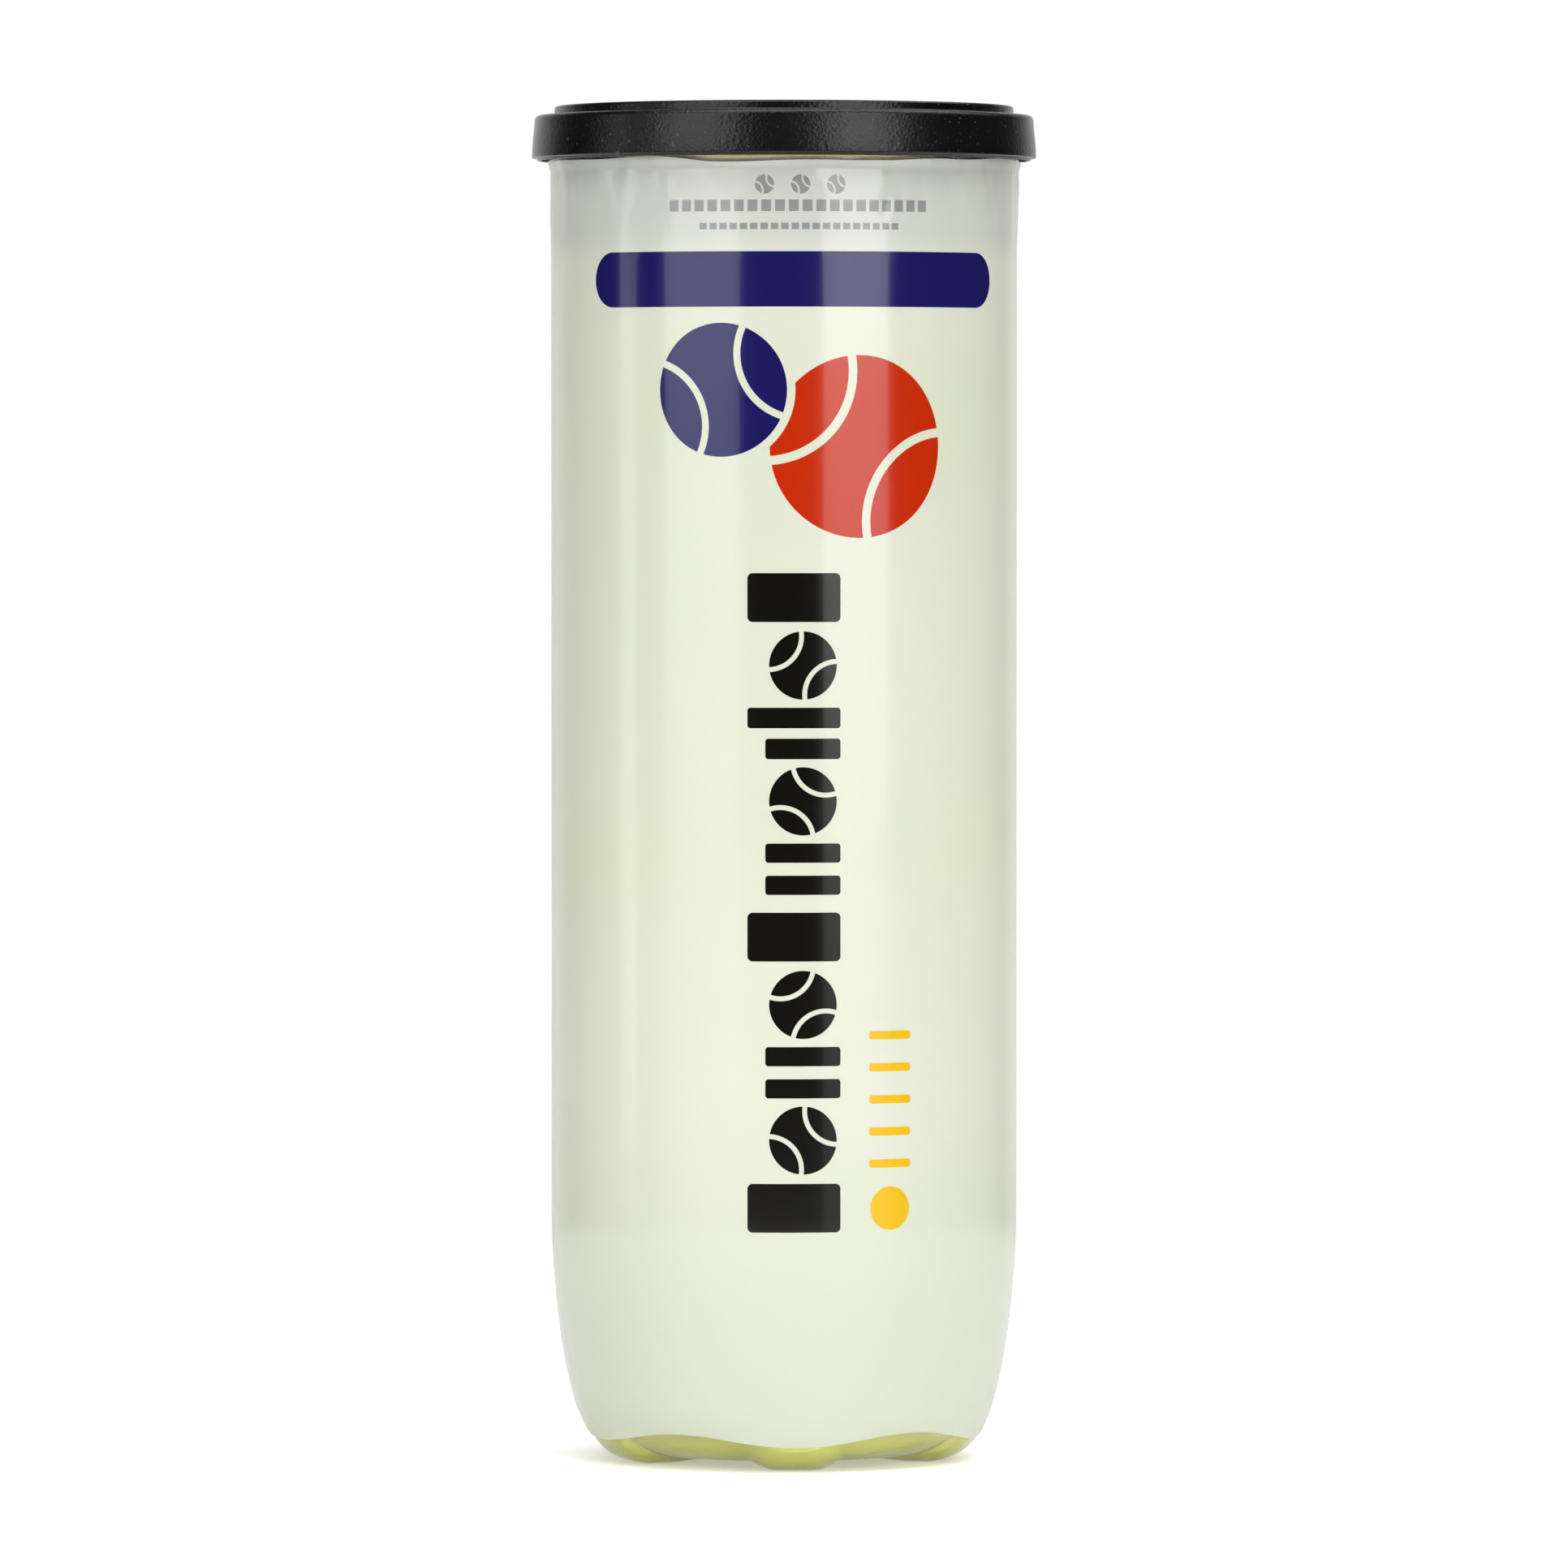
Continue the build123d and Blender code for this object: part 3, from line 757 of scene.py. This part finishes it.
def end_rim():
    """The metal that stays on the can: double seam, chuck wall, countersink and a narrow shelf."""
    seam_low, sink_top, shelf_top = SEAM_TOP - 3, SINK_BOTTOM + SHEET, PANEL_LOW + SHEET
    outline = rounded([
        (NECK_R, SEAM_TOP - 1.0, 0), (FOLD_R, SEAM_TOP - 1.0, 0), (FOLD_R, seam_low + SHEET, 0),
        (FOLD_OUTER_R, seam_low + SHEET, 0), (FOLD_OUTER_R, SEAM_TOP - SHEET, 0),
        (MOUTH_R, SEAM_TOP - SHEET, 0), (MOUTH_R, 205.6, 0.6), (SINK_OUTER_R, 203.4, 0.6),
        (SINK_OUTER_R, SINK_BOTTOM, 0.5), (SINK_INNER_R, SINK_BOTTOM, 0.5),
        (SINK_INNER_R, PANEL_LOW, 0.2), (SCORE_R, PANEL_LOW, 0), (SCORE_R, shelf_top, 0),
        (SINK_INNER_R + SHEET, shelf_top, 0.3), (SINK_INNER_R + SHEET, sink_top, 0.3),
        (SINK_OUTER_R - SHEET, sink_top, 0.3), (SINK_OUTER_R - SHEET, 203.5, 0.6), (CHUCK_R, 205.7, 0.6),
        (CHUCK_R, SEAM_TOP, 0.4), (SEAM_R, SEAM_TOP, 0.45), (SEAM_R, seam_low, 0.45), (NECK_R, seam_low, 0.2),
    ], 4)
    return lathe("gold_end_rim", outline, GOLD, "can", replaced=["end_ring"], slot="gold_lacquered_metal",
                 crease=50)


def panel():
    """Tear-out panel with a raised middle, a shallow ring, a sunk bead, a score line and its rivet."""
    low, high, score_r = PANEL_LOW + SHEET, PANEL_LOW + SHEET + 0.3, 33.2
    top = [(0, high, 0), (10.6, high, 0.4), (11.0, high - 0.12, 0.3), (11.4, high, 0.4),
           (14.0, high, 0.4), (14.6, low, 0.4), (17.4, low, 0.4), (18.0, high, 0.4),
           (29.2, high, 0.5), (30.0, low, 0.5), (score_r - 0.2, low, 0.1), (score_r, low - 0.1, 0),
           (score_r + 0.2, low, 0.1), (PANEL_R, low, 0)]
    under = [(r, z - SHEET, f) for r, z, f in reversed(top) if abs(r - score_r) > 0.3]
    outline = [(max(r, 0), z) for r, z in rounded(top + under, 4)]
    piece = lathe("gold_tear_panel", outline, GOLD, "end_panel", replaced=["tear_panel"],
                  slot="gold_lacquered_metal", crease=50)
    rivet_y, head_low, head_high, head_r, neck_r = HINGE_Y + 4.0, TAB_LOW + 0.3, TAB_LOW + 0.72, 2.3, 1.5
    button = rounded([(0, head_high, 0), (head_r, head_high, 0.5), (head_r, head_low, 0.2),
                      (neck_r, head_low, 0), (neck_r, TAB_LOW, 0), (2.7, TAB_LOW, 0.2),
                      (3.1, high - 0.05, 0.2), (0, high - 0.1, 0)], 4)
    rivet = lathe("panel_rivet", button, GOLD, "end_panel", segments=72, slot="gold_lacquered_metal")
    rivet.data.transform(Matrix.Translation((0, rivet_y * MM, 0)))
    return piece


def arc_points(centre, radius, start, end, count):
    """Points along an arc, both ends included."""
    x, y = centre
    return [(x + radius * cos(a), y + radius * sin(a)) for a in np.linspace(start, end, count)]


def tab_outline(ring_y, ring_r, nose_y, nose_r):
    """The tab's outer edge: the hull of the finger ring and the nose, anticlockwise."""
    lean = acos((ring_r - nose_r) / (ring_y - nose_y))
    back = arc_points((0, ring_y), ring_r, -pi / 2 + lean, 3 * pi / 2 - lean, 60)
    front = arc_points((0, nose_y), nose_r, 3 * pi / 2 - lean, 3 * pi / 2 + lean, 36)
    return back + front


def tube(path, radius, flat=1.0, sides=10):
    """A closed curled edge along a loop of (x, y, z) points; flat squeezes it in height."""
    loop = np.array(path)
    along = np.roll(loop, -1, 0) - np.roll(loop, 1, 0)
    along[:, 2] = 0
    along /= np.linalg.norm(along, axis=1)[:, None]
    side = np.c_[along[:, 1], -along[:, 0], np.zeros(len(loop))]
    turn = np.linspace(0, 2 * pi, sides, endpoint=False)
    points = np.vstack([
        p + radius * (np.outer(np.cos(turn), s) + flat * np.outer(np.sin(turn), (0, 0, 1)))
        for p, s in zip(loop, side)
    ])
    return points, grid_faces(len(loop), sides, wrap_rows=True)


def plate(outer, holes, low, high):
    """A flat plate between two heights with holes, as (points, faces) from a filled curve."""
    curve = bpy.data.curves.new("plate", "CURVE")
    curve.dimensions = "2D"
    curve.fill_mode = "BOTH"
    curve.extrude = (high - low) / 2
    for loop in (outer, *holes):
        spline = curve.splines.new("POLY")
        spline.points.add(len(loop) - 1)
        for point, (x, y) in zip(spline.points, loop):
            point.co = (x, y, 0, 1)
        spline.use_cyclic_u = True
    holder = bpy.data.objects.new("plate", curve)
    mesh = bpy.data.meshes.new_from_object(holder)
    points = np.array([v.co for v in mesh.vertices]) + (0, 0, (low + high) / 2)
    faces = [tuple(p.vertices) for p in mesh.polygons]
    bpy.data.objects.remove(holder)
    bpy.data.meshes.remove(mesh)
    bpy.data.curves.remove(curve)
    return points, faces


def pull_tab():
    """The tab: a thin web with a window, curled outer and ring edges and a pressed rib."""
    ring_r = box_mm("pull_tab")[1].x
    ring_y = TAB_BACK - ring_r
    nose_r = 7.0
    nose_y = TAB_FRONT + nose_r
    curl = (TAB_HIGH - TAB_LOW) / 2
    middle = TAB_LOW + curl
    outer = tab_outline(ring_y, ring_r - curl, nose_y, nose_r - curl)
    ring = arc_points((0, ring_y), 8.2, 0, 2 * pi * 59 / 60, 60)
    width, front, back = 3.35, HINGE_Y - 0.1, HINGE_Y + 8.2
    window = rounded([(-width, front, 0.8), (width, front, 0.8), (width, back, 2.6), (-width, back, 2.6)], 8)
    web = plate(outer, [ring, window], middle - 0.22, middle + 0.22)
    rib_low, rib_high = back + 1.2, back + 3.0
    rib = rounded([(-4.6, rib_low, 1.2), (4.6, rib_low, 1.2), (5.4, rib_high, 1.2), (-5.4, rib_high, 1.2)], 5)
    points, faces = join_shapes([
        web,
        tube([(x, y, middle) for x, y in outer], curl, 0.98),
        tube([(x, y, middle) for x, y in ring], 0.6, 0.85),
        tube([(x, y, middle + 0.12) for x, y in rib], 0.35, 0.9, 8),
    ])
    return add_piece("tab_ring_and_nose", points, faces, TAB, "tab", ["pull_tab"], "tab_metal", crease=40)


# ---------------------------------------------------------------- the cap

def cap():
    """The push-on cap: stacking ring, low rings and a gate dimple on top, a skirt and its inner bead."""
    rest, top, shoulder = SEAM_TOP + 0.05, CAP_HIGH - 1.7, CAP_HIGH - 1.45
    dimple, low_ring = top - 0.2, top + 0.2
    ring_inner_r, ring_outer_r = 34.9, 36.3
    skirt_low, bore_r, bead_r = 205.8, 38.6, 38.3
    outline = rounded([
        (0, dimple, 0), (1.0, dimple, 0.3), (1.5, top, 0.3), (24.0, top, 0.2), (24.3, low_ring, 0.2),
        (25.3, low_ring, 0.2), (25.6, top, 0.2), (34.2, top, 0.4), (ring_inner_r, CAP_HIGH - 1.4, 0.3),
        (ring_inner_r, CAP_HIGH, 0.5), (ring_outer_r, CAP_HIGH, 0.5), (ring_outer_r, shoulder, 0.35),
        (39.42, shoulder, 0.9), (CAP_R - 0.38, CAP_HIGH - 3.4, 0.6), (CAP_R - 0.1, 208.2, 1.5),
        (CAP_R, skirt_low, 0.25), (39.2, skirt_low, 0.2), (39.0, CAP_LOW, 0.15), (bore_r, CAP_LOW, 0.15),
        (bore_r, 206.6, 0.2), (bead_r, 206.9, 0.2), (bead_r, 207.4, 0.2), (bore_r, 207.8, 0.3),
        (bore_r, rest, 0.3), (33.0, rest, 0.4), (32.6, rest + 0.25, 0.4), (0, rest + 0.25, 0),
    ], 6)
    return lathe("cap_shell", outline, cap_plastic(), "cap", segments=360, replaced=["overcap"],
                 slot="black_cap_plastic", crease=60)


# ---------------------------------------------------------------- the balls

def ball_turn(number):
    """How a ball happens to lie in the can."""
    x, y, z = (radians(a) for a in BALL_TURNS[number - 1])
    return Matrix.Rotation(x, 3, "X") @ Matrix.Rotation(y, 3, "Y") @ Matrix.Rotation(z, 3, "Z")


def seam_side(directions):
    """Signed distance from the seam's middle line on the ball, in millimetres; positive on the upper felt."""
    c, s = cos(SEAM_LEAN), sin(SEAM_LEAN)
    x, y, z = np.abs(directions[:, 0]), np.abs(directions[:, 1]), directions[:, 2]
    from_a = np.arccos(np.clip(c * x - s * z, -1, 1))
    from_b = np.arccos(np.clip(c * y + s * z, -1, 1))
    below = s * (x - y) + c * z < 0
    return np.where(below, SEAM_SPREAD - from_a, from_b - SEAM_SPREAD) * BALL_R


def cube_sphere(count):
    """Directions and quads of a sphere made from a cube's six faces, count quads along each edge."""
    step = np.tan(np.linspace(-pi / 4, pi / 4, count + 1))
    index, points, faces = {}, [], []
    for axis in range(3):
        for sign in (-1, 1):
            ids = np.empty((count + 1, count + 1), int)
            for i, a in enumerate(step):
                for j, b in enumerate(step):
                    p = np.roll((sign, a, b), axis)
                    key = tuple(np.round(p, 6))
                    if key not in index:
                        index[key] = len(points)
                        points.append(p)
                    ids[i, j] = index[key]
            for i in range(count):
                for j in range(count):
                    quad = (ids[i, j], ids[i + 1, j], ids[i + 1, j + 1], ids[i, j + 1])
                    faces.append(quad if sign > 0 else quad[::-1])
    points = np.array(points)
    return points / np.linalg.norm(points, axis=1)[:, None], np.array(faces)


def felt_shape(directions, faces, upper):
    """One felt as a closed napped shell that rolls down into the seam and lies on the core."""
    side = seam_side(directions)
    middle = side[faces].mean(1)
    mine = faces[middle > 0] if upper else faces[middle < 0]
    used, local = np.unique(mine, return_inverse=True)
    quads = local.reshape(mine.shape)
    rays, away = directions[used], np.abs(side[used])
    roll = np.clip((away - 0.5) / 2.2, 0, 1)
    nap = np.array([
        noise.noise(Vector(ray * 14)) * 0.22 + noise.noise(Vector(ray * 38)) * 0.14 for ray in rays
    ])
    outside = FELT_EDGE_R + 1.2 * np.sqrt(1 - (1 - roll) ** 2) + (nap + 0.05) * np.minimum(roll * 1.2, 1)
    outside = np.minimum(outside, BALL_R - 0.05)
    count = len(used)
    points = np.vstack([rays * outside[:, None], rays * FELT_INNER_R])
    pairs = {}
    for quad in quads:
        for a, b in zip(quad, np.roll(quad, -1)):
            pairs[(a, b)] = True
    rim = [(a, b) for a, b in pairs if (b, a) not in pairs]
    shell = [tuple(q) for q in quads] + [tuple(q[::-1] + count) for q in quads]
    shell += [(b, a, a + count, b + count) for a, b in rim]
    return points, shell


def seam_rib():
    """The rubber seam of one ball: a rounded rib swept along the four tangent arcs."""
    half_turn = atan2(1, -sin(SEAM_LEAN))
    section = rounded([(FELT_INNER_R, -0.85, 0.2), (RIB_TOP_R, -0.95, 0.5), (RIB_TOP_R, 0.95, 0.5),
                       (FELT_INNER_R, 0.85, 0.2)], 3)
    points, steps = [], 64
    for k in range(4):
        odd = k % 2
        tilt = SEAM_LEAN if odd else -SEAM_LEAN
        lobe = Vector((cos(tilt), 0, sin(tilt)))
        away = Vector((-sin(tilt), 0, cos(tilt))) if odd else Vector((sin(tilt), 0, -cos(tilt)))
        third = lobe.cross(away)
        spin = Matrix.Rotation(k * pi / 2, 3, "Z")
        sweep = np.linspace(-half_turn, half_turn, steps, endpoint=False)
        if odd:
            sweep = -sweep
        for a in sweep:
            flat = away * cos(a) + third * sin(a)
            ray = spin @ (flat * sin(SEAM_SPREAD) + lobe * cos(SEAM_SPREAD))
            across = spin @ (flat * cos(SEAM_SPREAD) - lobe * sin(SEAM_SPREAD)) * (-1 if odd else 1)
            wander = noise.noise(ray * 9) * 0.12
            for r, w in section:
                points.append(ray * r + across * (w + wander))
    return np.array(points), grid_faces(4 * steps, len(section), wrap_rows=True)


def fibres(directions, count):
    """Loose felt fibres: thin curved three-sided hairs standing out of both felts."""
    side = np.abs(seam_side(directions))
    picks = RNG.choice(np.flatnonzero(side > 1.3), count, replace=False)
    shapes = []
    for ray in directions[picks]:
        lean = RNG.normal(size=3)
        lean -= ray * lean.dot(ray)
        lean /= np.linalg.norm(lean)
        other = np.cross(ray, lean)
        length, curl = RNG.uniform(0.7, 1.7), RNG.uniform(-0.6, 0.6)
        root, sweep = ray * (BALL_R - 0.55), (lean + other * curl) * length
        knots = []
        for t, width in ((0.0, 0.05), (0.35, 0.045), (0.7, 0.032)):
            centre = root + ray * 0.95 * sin(1.5 * t) * min(length, 1.0) + sweep * t * t
            for k in range(3):
                a = 2 * pi * k / 3
                knots.append(centre + width * (lean * cos(a) + other * sin(a)))
        tip = root + ray * 0.85 * min(length, 1.0) + sweep
        faces = grid_faces(3, 3) + [(6 + k, 6 + (k + 1) % 3, 9) for k in range(3)] + [(2, 1, 0)]
        shapes.append((np.array(knots + [tip]), faces))
    return join_shapes(shapes)


def balls():
    """Every ball's two felts, seam and loose fibres, made once and placed three times."""
    directions, faces = cube_sphere(84)
    felts = {half: felt_shape(directions, faces, half == "upper") for half in ("lower", "upper")}
    rib = seam_rib()
    hair = fibres(directions, 5200)
    cloth, loose = felt_cloth(), felt_fibre()
    rubber = plain_rubber("seam_rubber", srgb(206, 206, 190), srgb(224, 224, 210))
    for number, (height, body) in enumerate(zip(ball_heights(), BALL_BODIES), start=1):
        turn = np.array(ball_turn(number))
        centre = np.array((0, 0, height))

        def placed(points):
            return points @ turn.T + centre

        for half, (points, quads) in felts.items():
            add_piece(f"ball_{number}_{half}_felt", placed(points), quads, cloth, body,
                      [f"ball_{number}_felt_{half}"], "yellow_felt", crease=80)
        add_piece(f"ball_{number}_seam", placed(rib[0]), rib[1], rubber, body,
                  [f"ball_{number}_seam_rubber"], "seam_rubber")
        add_piece(f"ball_{number}_loose_fibres", placed(hair[0]), hair[1], loose, body, slot="yellow_felt")


# ---------------------------------------------------------------- stage

def table():
    """A pale glowing round table top under the can; from below it can be seen through."""
    finish = Finish("pale_floor", Roughness=0.6, Emission_Color=(1, 1, 1, 1), Emission_Strength=0.3)
    patch = finish.noise(30, 2).fade(0.3, 0.7)
    finish.drive("Base Color", finish.mix(patch, (0.76, 0.76, 0.76), (0.79, 0.79, 0.79)))
    under = finish.tree.nodes.new("ShaderNodeNewGeometry").outputs["Backfacing"]
    finish.blend("ShaderNodeBsdfTransparent", Value(finish.tree, under))
    sides, gap = 128, 0.02
    edge = [(x, y, -gap) for x, y in arc_points((0, 0), TABLE_R, 0, 2 * pi * (1 - 1 / sides), sides)]
    mesh = bpy.data.meshes.new("table")
    mesh.from_pydata([(x * MM, y * MM, z * MM) for x, y, z in edge], [], [tuple(range(len(edge)))])
    mesh.materials.append(finish.material)
    top = bpy.data.objects.new("table", mesh)
    bpy.context.scene.collection.objects.link(top)


def area_light(name, place, aim, size, radiance):
    """A rectangular light of even radiance, not seen by the camera."""
    light = bpy.data.lights.new(name, "AREA")
    light.shape = "RECTANGLE"
    light.size, light.size_y = size
    light.energy = radiance * pi * size[0] * size[1]
    lamp = bpy.data.objects.new(name, light)
    lamp.location = place
    lamp.rotation_euler = (Vector(aim) - Vector(place)).to_track_quat("-Z", "Y").to_euler()
    lamp.visible_camera = False
    bpy.context.scene.collection.objects.link(lamp)
    return light


def softbox(name, azimuth, half_angle, radiance):
    """A tall soft light standing round the can, fading out towards its foot."""
    distance, low, high = 1.5, -0.15, 1.15
    width = 2 * distance * tan(radians(half_angle))
    middle = (low + high) / 2
    place = (sin(radians(azimuth)) * distance, -cos(radians(azimuth)) * distance, middle)
    light = area_light(name, place, (0, 0, middle), (width, high - low), radiance)
    light.use_nodes = True
    tree = light.node_tree
    split = tree.nodes.new("ShaderNodeSeparateXYZ")
    tree.links.new(tree.nodes.new("ShaderNodeNewGeometry").outputs["Parametric"], split.inputs[0])
    dim = 0.12
    fade = Value(tree, split.outputs[1]).fade(0.07, 0.34) * (1 - dim) + dim
    tree.links.new(fade.socket, tree.nodes["Emission"].inputs["Strength"])


def lights():
    """Two front softboxes, a dim one at the left side, and a wide one overhead towards the front."""
    softbox("left_softbox", -45, 19.4, 3.1)
    softbox("right_softbox", 31.6, 16.6, 4.6)
    area_light("left_side_softbox", (-1.6, -0.1, 0.4), (0, 0, 0.2), (0.3, 0.9), 2.0)
    area_light("right_side_softbox", (1.5, 0.5, 1.2), (0, 0, 0.2), (0.6, 0.4), 3.0)
    area_light("overhead_softbox", (0.15, -0.3, 1.5), (0, 0, 0), (2.8, 1.5), 3.4)


def world():
    """A white backdrop behind the can and a dark room round it, so that the black cap stays dark."""
    scene_world = bpy.data.worlds.new("studio")
    bpy.context.scene.world = scene_world
    scene_world.use_nodes = True
    tree = scene_world.node_tree
    background = tree.nodes["Background"]
    coords = tree.nodes.new("ShaderNodeTexCoord")
    split = tree.nodes.new("ShaderNodeSeparateXYZ")
    tree.links.new(coords.outputs["Generated"], split.inputs[0])
    dim = 0.03
    level = Value(tree, split.outputs[1]).fade(0.6, 0.95) * (1 - dim) + dim
    direct = Value(tree, tree.nodes.new("ShaderNodeLightPath").outputs["Is Camera Ray"])
    tree.links.new(level.most(direct).socket, background.inputs["Strength"])
    background.inputs["Color"].default_value = (1, 1, 1, 1)


def camera():
    """A long lens a little left of the front, below the height of the cap."""
    distance, eye, aim, turn, field = 1.84, 0.157, 0.1068, radians(4), 0.2484
    data = bpy.data.cameras.new("camera")
    data.sensor_width = 36
    data.lens = 36 * distance / field
    data.clip_start, data.clip_end = 0.05, 20
    viewer = bpy.data.objects.new("camera", data)
    viewer.location = (-sin(turn) * distance, -cos(turn) * distance, eye)
    look = Vector((0, 0, aim)) - viewer.location
    viewer.rotation_euler = look.to_track_quat("-Z", "Y").to_euler()
    bpy.context.scene.collection.objects.link(viewer)
    bpy.context.scene.camera = viewer


def carried_over():
    """Materials for the CAD nodes that stay."""
    core = plain_rubber("core_rubber", srgb(52, 50, 47), srgb(66, 64, 60))
    cement = plain_rubber("rubber_cement", srgb(120, 104, 78), srgb(140, 124, 96))
    compound = plain_rubber("sealing_compound", srgb(150, 150, 146), srgb(170, 170, 165))
    kept = {"seam_compound": compound, "tab_tongue": TAB}
    for number in (1, 2, 3):
        kept[f"ball_{number}_core_lower"] = core
        kept[f"ball_{number}_core_upper"] = core
        kept[f"ball_{number}_core_cement"] = cement
    for node, material in kept.items():
        for slot in frame["nodes"][node].material_slots:
            slot.material = material


# ---------------------------------------------------------------- build

GOLD = gold_lacquer()
TAB = tab_metal()
camera()
world()
lights()
table()
bottle()
film()
end_rim()
panel()
pull_tab()
cap()
balls()
carried_over()

scene = bpy.context.scene
scene.cycles.transparent_max_bounces = 32
scene.view_settings.view_transform = "Standard"
scene.view_settings.look = "None"

bpy.context.view_layer.update()
